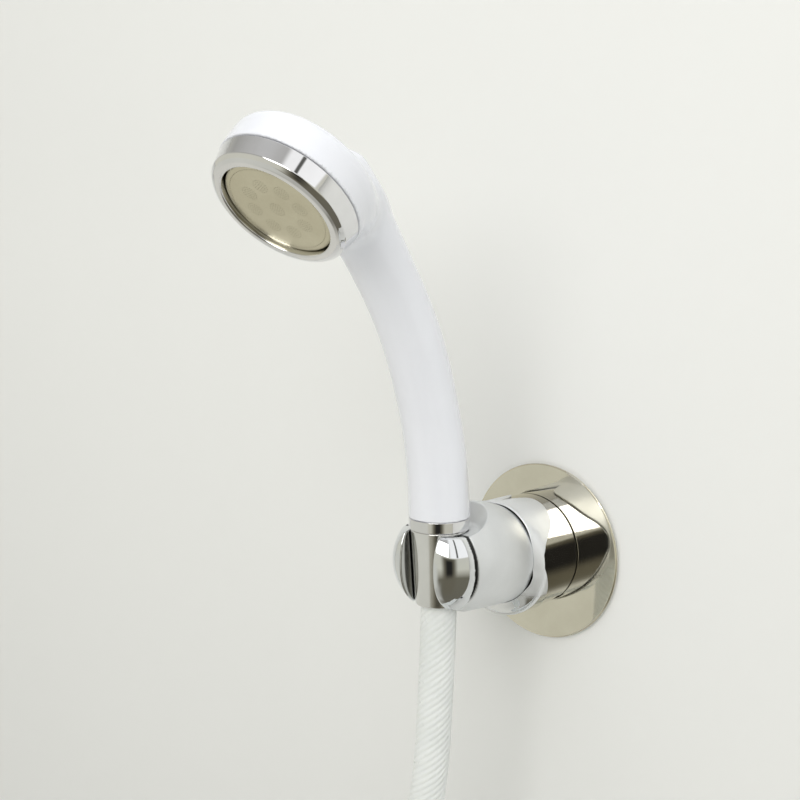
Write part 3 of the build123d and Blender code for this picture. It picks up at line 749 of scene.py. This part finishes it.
def smooth_line(P, per=6):
    """Catmull-Rom samples of a control line."""
    E = np.concatenate([[2 * P[0] - P[1]], P, [2 * P[-1] - P[-2]]])
    out = []
    for i in range(1, len(E) - 2):
        p0, p1, p2, p3 = E[i - 1], E[i], E[i + 1], E[i + 2]
        for t in np.arange(per) / per:
            out.append(0.5 * (2 * p1 + (p2 - p0) * t + (2 * p0 - 5 * p1 + 4 * p2 - p3) * t * t + (3 * p1 - p0 - 3 * p2 + p3) * t ** 3))
    out.append(P[-1])
    out = np.array(out)
    for _ in range(6):
        out[1:-1] = 0.25 * out[:-2] + 0.5 * out[1:-1] + 0.25 * out[2:]
    return out


SPINE = smooth_line(spine_ctrl)


def spine_distance(P):
    """Distance to the handle's skin and to its centre line."""
    x2, y, z = P[:, 0] ** 2, P[:, 1], P[:, 2]
    skin = np.full(len(P), 1e3)
    core = np.full(len(P), 1e6)
    for a, b in zip(SPINE[:-1], SPINE[1:]):
        dy, dz = b[0] - a[0], b[1] - a[1]
        t = np.clip(((y - a[0]) * dy + (z - a[1]) * dz) / (dy * dy + dz * dz), 0, 1)
        d = np.sqrt(x2 + (y - a[0] - t * dy) ** 2 + (z - a[1] - t * dz) ** 2)
        skin = np.minimum(skin, d - (a[2] + t * (b[2] - a[2])))
        core = np.minimum(core, d)
    return skin, core


def shell_field(P):
    x = P[:, 0]
    R = P - HEAD
    w = R @ HW
    e = R @ HE
    rho = np.sqrt(x * x + e * e)
    skin, core = spine_distance(P)
    nr = np.interp(w, (8, 14, 24, 33, 37), (21.5, 22.5, 19.5, 12.6, 9.0))
    ne = np.interp(w, (8, 14, 24, 33, 37), (3.0, 5.0, 11.0, 19.5, 23.5))
    neck = (np.sqrt(x * x + (e - ne) ** 2) - nr) * 0.8
    neck = smax(neck, w - 34.0, 3.0)
    neck = smax(neck, 10.0 - w, 1.0)
    body = smin(skin, neck, 9.0)
    plane = (P[:, 1] + 110.75) * 0.347 + (P[:, 2] - 169.6) * 0.938
    body = smax(body, plane, 2.4)
    rb = 6.6
    a, b = rho - 29.6 + rb, w - 24.4 + rb
    cup = np.minimum(np.maximum(a, b), 0) + np.sqrt(np.maximum(a, 0) ** 2 + np.maximum(b, 0) ** 2) - rb
    cup = smax(cup, 8.8 - w, 0.35)
    # the blend fades out towards the face ring
    f = smin(body, cup, 0.8 + 8.2 * step(w, 10.0, 17.5))
    f = smax(f, 25.1 - P[:, 2], 0.5)
    # front rim, chamber, bore of the handle and the adapter's socket
    rim = np.maximum(np.maximum(rho - 26.2, 5.4 - w), w - 9.6)
    f = np.minimum(f, rim)
    hollow = np.maximum(rho - 21.6, w - 19.6)
    d = np.sqrt(x * x + (P[:, 1] + 66.75) ** 2)
    hollow = np.minimum(hollow, np.maximum(d - 9.0, P[:, 2] - 37.3))
    hollow = np.minimum(hollow, np.maximum(core - 8.0, 30.0 - P[:, 2]))
    return smax(f, -hollow, 0.4)


sv, sq, sn = implicit(shell_field, (-32, -183, 23.5), (32, -48, 192), 0.9)
shell = put("handle_and_head", sv, sq, sn)
place(shell, "handset", white_abs, ("handle_shell",))


# spray plate with its groups of fine holes
def spray():
    holes = []
    hr = 0.187
    for a in range(96):
        t = 2 * math.pi * (a + 0.5) / 96
        holes.append((19.85 * math.cos(t), 19.85 * math.sin(t), 0.23))
    centres = [(0, 0)] + [(11.6 * math.cos(math.radians(45 * i)), 11.6 * math.sin(math.radians(45 * i))) for i in range(8)]
    for n, (cx, cy) in enumerate(centres):
        turn = math.radians(45 * (n - 1))
        for ringno, count in ((0, 1), (1, 6), (2, 12), (3, 18)):
            for i in range(count):
                t = 2 * math.pi * i / count + turn
                holes.append((cx + 0.98 * ringno * math.cos(t), cy + 0.98 * ringno * math.sin(t), hr))
    pts, edges = [], []
    def loop(cx, cy, r, n):
        s = len(pts)
        for i in range(n):
            t = 2 * math.pi * (i + 0.5) / n
            pts.append(Vector((cx + r * math.cos(t), cy + r * math.sin(t))))
        edges.extend((s + i, s + (i + 1) % n) for i in range(n))
        return list(range(s, s + n))
    outer = loop(0, 0, 26.2, 128)
    rings = [loop(cx, cy, r, 10) for cx, cy, r in holes]
    for r, n in ((24.3, 128), (22.4, 128), (22.34, 128), (22.25, 128), (22.1, 128), (21.9, 128), (21.6, 128), (21.2, 128),
                 (20.8, 128), (20.4, 128), (17.2, 72), (7.0, 30)):
        for i in range(n):
            t = 2 * math.pi * i / n
            pts.append(Vector((r * math.cos(t), r * math.sin(t))))
    v, _, f, ov, _, _ = delaunay_2d_cdt(pts, edges, [], 1, 1e-6)
    v = np.array([(p.x, p.y) for p in v])
    back = {}
    for i, orig in enumerate(ov):
        for o in orig:
            back[o] = i
    hc = np.array([h[:2] for h in holes])
    hr2 = np.array([h[2] for h in holes]) ** 2
    F = []
    for t in f:
        c = v[list(t)].mean(0)
        if (((hc - c) ** 2).sum(1) < hr2 * 0.8).any():
            continue
        a, b, d = v[t[0]], v[t[1]], v[t[2]]
        if (b[0] - a[0]) * (d[1] - a[1]) - (b[1] - a[1]) * (d[0] - a[0]) < 0:
            t = (t[0], t[2], t[1])
        F.append(tuple(t))
    n = len(v)
    X = np.array((1.0, 0, 0))
    # pressed pan: the middle stands just behind the ring's lip, the flange lies further back
    rad = np.hypot(v[:, 0], v[:, 1])
    round_r, round_d = (0, 20.8, 21.2, 21.6, 21.9, 22.1, 22.25, 22.34, 22.4, 30), (0.76, 0.9, 0.94, 1.06, 1.25, 1.46, 1.85, 2.4, 3.4, 3.4)
    depth = np.interp(rad, round_r, round_d)
    slope = np.interp(rad, (0, 20.8, 21.4, 21.9, 22.2, 22.4, 22.45, 30), (0, 0.02, 0.25, 0.9, 2.0, 9.0, 0.0, 0.0))
    V = np.concatenate([HEAD + np.outer(v[:, 0], X) + np.outer(v[:, 1], HE) + np.outer(depth, HW),
                        HEAD + np.outer(v[:, 0], X) + np.outer(v[:, 1], HE) + np.outer(np.minimum(depth + 0.78, 4.2), HW)])
    radial = (np.outer(v[:, 0], X) + np.outer(v[:, 1], HE)) / np.maximum(rad, 1e-6)[:, None]
    nf = -HW + radial * slope[:, None]
    nf /= np.linalg.norm(nf, axis=1)[:, None]
    normals = np.concatenate([nf, -nf])
    # X cross HE points along -HW or +HW; the front looks along -HW
    up = np.cross(X, HE) @ HW
    front = F if up < 0 else [tuple(reversed(t)) for t in F]
    rear = [tuple(i + n for i in reversed(t)) for t in front]
    faces = list(front) + rear
    for lp, outside in [(outer, True)] + [(r, False) for r in rings]:
        ids = [back[i] for i in lp]
        for i in range(len(ids)):
            a, b = ids[i], ids[(i + 1) % len(ids)]
            quad = (a, b, b + n, a + n)
            if outside == (up < 0):
                quad = tuple(reversed(quad))
            faces.append(quad)
    return put("spray_plate_drilled", V, faces, normals)


plate2 = spray()
place(plate2, "handset", spray_metal, ("spray_plate",))

# ------------------------------------------------------------------ CAD pieces that keep their shape
keep = {
    "adhesive_pad": pad_foam, "cup_stud": brass, "cam_pin": steel, "base_housing": chrome,
    "thrust_washer": acetal, "hook_screw": steel, "spring_washer": steel, "plate_gasket": rubber, "flow_disc": acetal,
    "adapter_o_ring": rubber, "hose_washer": rubber, "hose_tail_top": brass, "hose_tie": tie_plastic,
    "hose_tail_bottom": chrome, "supply_nut": chrome, "supply_washer": rubber,
}
for name, mat in keep.items():
    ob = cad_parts[name]
    ob.data.materials.clear()
    ob.data.materials.append(mat)

# ------------------------------------------------------------------ stage: pale wall and floor
k = Look("stage_wall", Specular_IOR_Level=0.2)
paint = k.ramp(k.noise(2.0, 4), [(0.3, (0.815, 0.820, 0.812)), (0.7, (0.835, 0.840, 0.832))])
# painted shade: the wall's colour darkens towards the floor, standing in for the light falling off lower down
height = k.nt.nodes.new("ShaderNodeSeparateXYZ")
k.nt.links.new(k.coord, height.inputs[0])
shade = k.nt.nodes.new("ShaderNodeMix")
shade.data_type = "RGBA"
k.nt.links.new(k.span(height.outputs["Z"], 1.0, 0.0, -0.24, 0.12), shade.inputs[0])
k.nt.links.new(paint, shade.inputs[6])
shade.inputs[7].default_value = (0.745, 0.75, 0.742, 1)
k.link(shade.outputs[2], "Base Color")
k.link(k.span(k.noise(40, 3), 0.8, 0.9), "Roughness")
k.bump([(k.noise(900, 3), 0.03, 0.0002)])
# seen only from the room side, so that views from behind show the object's back
geo = k.nt.nodes.new("ShaderNodeNewGeometry")
clear = k.nt.nodes.new("ShaderNodeBsdfTransparent")
mixs = k.nt.nodes.new("ShaderNodeMixShader")
k.nt.links.new(geo.outputs["Backfacing"], mixs.inputs[0])
k.nt.links.new(k.bsdf.outputs[0], mixs.inputs[1])
k.nt.links.new(clear.outputs[0], mixs.inputs[2])
k.nt.links.new(mixs.outputs[0], k.out.inputs[0])
wall_mat = k.mat

FLOOR = -0.3775
W = 3.0
n = 96
hole = [(5.8 + 37.5 * math.cos(2 * math.pi * i / n), -0.3 + 37.5 * math.sin(2 * math.pi * i / n)) for i in range(n)]
wv = [(x, 0.25, z) for x, z in hole]
rim = [(5.8 + 400 * math.cos(2 * math.pi * i / n), -0.3 + 370 * math.sin(2 * math.pi * i / n)) for i in range(n)]
far = []
for i in range(n):
    c, s = math.cos(2 * math.pi * i / n), math.sin(2 * math.pi * i / n)
    f = 1 / max(abs(c), abs(s))
    far.append((c * f * W * 1000, FLOOR * 1000 if s * f < -0.12 else max(FLOOR * 1000, s * f * W * 1000)))
wv += [(x, 0.25, max(z, FLOOR * 1000)) for x, z in rim] + [(x, 0.25, z) for x, z in far]
wf = []
for k0 in (0, n):
    for i in range(n):
        j = (i + 1) % n
        wf.append((k0 + i, k0 + j, k0 + n + j, k0 + n + i))
wall = put("stage_wall", wv, wf, smooth=False)
if wall.data.polygons[0].normal.y > 0:
    wall.data.flip_normals()
wall.data.materials.append(wall_mat)

k = Look("stage_floor", Specular_IOR_Level=0.2)
k.link(k.ramp(k.noise(3.0, 4), [(0.3, (0.80, 0.80, 0.775)), (0.7, (0.83, 0.83, 0.805))]), "Base Color")
k.link(k.span(k.noise(40, 3), 0.75, 0.9), "Roughness")
k.bump([(k.noise(700, 3), 0.04, 0.0002)])
floor_mat = k.mat
g = 8
fv = [((i / g - 0.5) * 8000, (j / g - 0.5) * 8000, FLOOR * 1000) for j in range(g + 1) for i in range(g + 1)]
ff = [(j * (g + 1) + i, j * (g + 1) + i + 1, (j + 1) * (g + 1) + i + 1, (j + 1) * (g + 1) + i) for j in range(g) for i in range(g)]
floor = put("stage_floor", fv, ff, smooth=False)
floor.data.materials.append(floor_mat)
floor.visible_glossy = False


# ------------------------------------------------------------------ light
def aim(az, el):
    a, e = math.radians(az), math.radians(el)
    return Vector((math.sin(a) * math.cos(e), -math.cos(a) * math.cos(e), math.sin(e)))


def softbox(name, az, el, dist, w, h, radiance, colour=(1, 1, 1), target=(0.0, -0.08, 0.05), glossy=True):
    d = bpy.data.lights.new(name, "AREA")
    d.shape = "RECTANGLE"
    d.size, d.size_y = w, h
    d.energy = radiance * math.pi * w * h
    d.color = colour
    ob = bpy.data.objects.new(name, d)
    scene.collection.objects.link(ob)
    v = aim(az, el)
    ob.location = Vector(target) + v * dist
    ob.rotation_euler = v.to_track_quat("Z", "Y").to_euler()
    ob.visible_glossy = glossy
    return ob


softbox("key", 18, 28, 1.5, 0.95, 0.80, 3.55, (1.0, 0.99, 0.965))
softbox("top", 10, 74, 1.4, 1.3, 0.9, 1.5, (0.96, 0.98, 1.0), glossy=False)

world = bpy.data.worlds.new("studio")
scene.world = world
world.use_nodes = True
nt = world.node_tree
nt.nodes.clear()
wout = nt.nodes.new("ShaderNodeOutputWorld")
bg = nt.nodes.new("ShaderNodeBackground")
nt.links.new(bg.outputs[0], wout.inputs[0])
tc = nt.nodes.new("ShaderNodeTexCoord").outputs["Generated"]
sep = nt.nodes.new("ShaderNodeSeparateXYZ")
nt.links.new(tc, sep.inputs[0])
mr = nt.nodes.new("ShaderNodeMapRange")
mr.inputs["From Min"].default_value = -1.0
nt.links.new(sep.outputs["Z"], mr.inputs["Value"])
ramp = nt.nodes.new("ShaderNodeValToRGB")
el = ramp.color_ramp.elements
stops = [(0.0, (0.15, 0.14, 0.11)), (0.27, (0.17, 0.16, 0.12)), (0.34, (0.44, 0.425, 0.355)), (0.42, (0.67, 0.66, 0.565)),
         (0.60, (0.66, 0.65, 0.57)), (0.78, (0.42, 0.415, 0.39)), (0.90, (0.56, 0.555, 0.54)), (1.0, (0.86, 0.87, 0.88))]
while len(el) > 1:
    el.remove(el[0])
el[0].position, el[0].color = stops[0][0], (*stops[0][1], 1)
for pos, col in stops[1:]:
    e = el.new(pos)
    e.color = (*col, 1)
nt.links.new(mr.outputs["Result"], ramp.inputs["Fac"])
colour = ramp.outputs["Color"]


def lobe(colour, centre, outer, inner, value):
    dot = nt.nodes.new("ShaderNodeVectorMath")
    dot.operation = "DOT_PRODUCT"
    nt.links.new(tc, dot.inputs[0])
    c = Vector(centre).normalized()
    dot.inputs[1].default_value = c
    m = nt.nodes.new("ShaderNodeMapRange")
    m.interpolation_type = "SMOOTHSTEP"
    m.inputs["From Min"].default_value = math.cos(math.radians(outer))
    m.inputs["From Max"].default_value = math.cos(math.radians(inner))
    nt.links.new(dot.outputs["Value"], m.inputs["Value"])
    x = nt.nodes.new("ShaderNodeMix")
    x.data_type = "RGBA"
    nt.links.new(m.outputs["Result"], x.inputs[0])
    nt.links.new(colour, x.inputs[6])
    x.inputs[7].default_value = (*value, 1)
    return x.outputs[2]


def calc(op, a, b):
    m = nt.nodes.new("ShaderNodeMath")
    m.operation = op
    for i, q in enumerate((a, b)):
        if q is None:
            continue
        if isinstance(q, (int, float)):
            m.inputs[i].default_value = q
        else:
            nt.links.new(q, m.inputs[i])
    return m.outputs[0]


turn_deg = calc("MULTIPLY", calc("ARCTAN2", sep.outputs["X"], calc("MULTIPLY", sep.outputs["Y"], -1.0)), 180 / math.pi)
rise_deg = calc("MULTIPLY", calc("ARCSINE", sep.outputs["Z"], None), 180 / math.pi)


def ease(value, a, b):
    m = nt.nodes.new("ShaderNodeMapRange")
    m.interpolation_type = "SMOOTHSTEP"
    m.inputs["From Min"].default_value = min(a, b)
    m.inputs["From Max"].default_value = max(a, b)
    m.inputs["To Min"].default_value = 0.0 if a < b else 1.0
    m.inputs["To Max"].default_value = 1.0 if a < b else 0.0
    nt.links.new(value, m.inputs["Value"])
    return m.outputs["Result"]


def panel(colour, az0, az1, el0, el1, value, soft=3.0, soft_top=None, soft_low=None):
    """A soft-edged panel of the room, from azimuth az0 to az1 and elevation el0 to el1 in degrees."""
    lo, hi = soft_low or soft, soft_top or soft
    mask = calc("MULTIPLY", ease(turn_deg, az0 - soft, az0 + soft), ease(turn_deg, az1 + soft, az1 - soft))
    mask = calc("MULTIPLY", mask, calc("MULTIPLY", ease(rise_deg, el0 - lo, el0 + lo), ease(rise_deg, el1 + hi, el1 - hi)))
    x = nt.nodes.new("ShaderNodeMix")
    x.data_type = "RGBA"
    nt.links.new(mask, x.inputs[0])
    nt.links.new(colour, x.inputs[6])
    x.inputs[7].default_value = (*value, 1)
    return x.outputs[2]


# bright side window, dark room below the key light, a lighter floor at the left
colour = panel(colour, 40, 150, 13, 74, (1.12, 1.12, 1.11), 6.0, 8.0, 1.5)
colour = panel(colour, 60, 65, 14, 60, (0.13, 0.13, 0.12), 1.3)
colour = panel(colour, 15, 57, -64, 11.5, (0.15, 0.138, 0.102), 8.0, 1.5, 10.0)
colour = panel(colour, -95, 4, -78, -36, (0.50, 0.495, 0.45), 10.0)
colour = panel(colour, -95, -2, -42, -4, (0.66, 0.66, 0.60), 6.0)
colour = panel(colour, 25, 47, -24, 8.0, (0.022, 0.021, 0.019), 6.0, 4.0, 8.0)
colour = lobe(colour, (-0.66, 0.14, -0.74), 44, 18, (0.72, 0.71, 0.645))
nt.links.new(colour, bg.inputs["Color"])
bg.inputs["Strength"].default_value = 1.0

scene.view_settings.view_transform = "Standard"
scene.view_settings.look = "None"
scene.view_settings.exposure = 0.0
